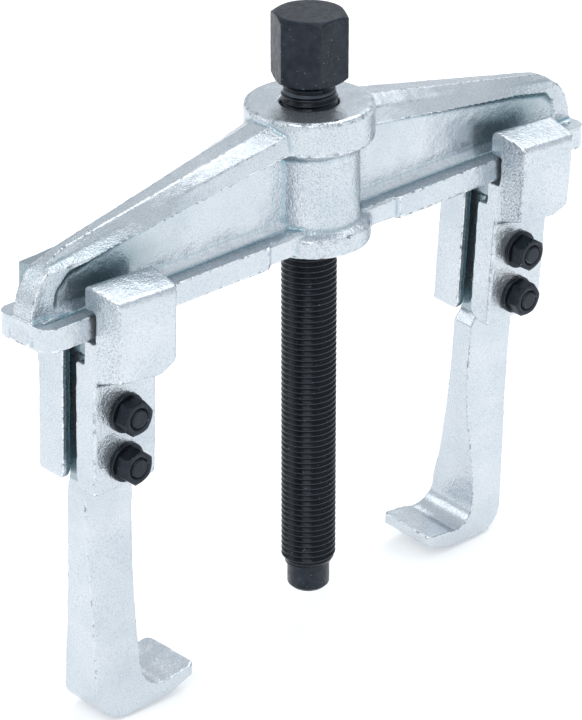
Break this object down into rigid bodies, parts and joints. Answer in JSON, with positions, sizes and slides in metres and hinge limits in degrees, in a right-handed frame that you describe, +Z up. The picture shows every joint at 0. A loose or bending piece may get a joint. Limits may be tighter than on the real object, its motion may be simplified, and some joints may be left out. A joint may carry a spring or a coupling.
{
  "type": "gear puller",
  "caption": "Gear puller: a forged beam with a central threaded pressure spindle and hooked arms in clamps that slide along the beam's rail.",
  "frame": {"origin": "on the spindle's axis, level with the lowest point of the hooks", "axes": "+Z up along the spindle, towards its hexagon head; +X along the beam, towards the right-hand arm; -Y is the side of the nuts"},
  "size_m": [0.187, 0.0374, 0.1663],
  "materials": {
    "forged_zinc": "bright zinc plate over forged skin",
    "ball_steel": "polished",
    "black_oxide": "black oxide, satin"
  },
  "bodies": {
    "beam": {"beam": "forged_zinc"},
    "ball": {"thrust_ball": "ball_steel"},
    "spindle": {"spindle": "black_oxide"},
    "left_clamp": {"left_slide_front": "forged_zinc", "left_slide_rear": "forged_zinc", "left_arm": "forged_zinc", "left_upper_bolt": "black_oxide", "left_upper_washer": "black_oxide", "left_upper_nut": "black_oxide", "left_lower_bolt": "black_oxide", "left_lower_washer": "black_oxide", "left_lower_nut": "black_oxide"},
    "right_clamp": {"right_slide_front": "forged_zinc", "right_slide_rear": "forged_zinc", "right_arm": "forged_zinc", "right_upper_bolt": "black_oxide", "right_upper_washer": "black_oxide", "right_upper_nut": "black_oxide", "right_lower_bolt": "black_oxide", "right_lower_washer": "black_oxide", "right_lower_nut": "black_oxide"}
  },
  "joints": [
    {"name": "spindle_feed", "type": "slide", "parent": "beam", "child": "ball", "axis": [0, 0, 1], "range_m": [-0.0052, 0.085]},
    {"name": "spindle_turn", "type": "hinge", "parent": "ball", "child": "spindle", "pos_m": [0, 0, 0.10836], "axis": [0, 0, 1], "range_deg": [-1249, 20400.5]},
    {"name": "left_slide", "type": "slide", "parent": "beam", "child": "left_clamp", "axis": [1, 0, 0], "range_m": [-0.011, 0.036]},
    {"name": "right_slide", "type": "slide", "parent": "beam", "child": "right_clamp", "axis": [1, 0, 0], "range_m": [-0.035, 0.012]}
  ],
  "couplings": [
    {"joint": "spindle_turn", "follows": "spindle_feed", "rad_per_m": 4188.8}
  ]
}
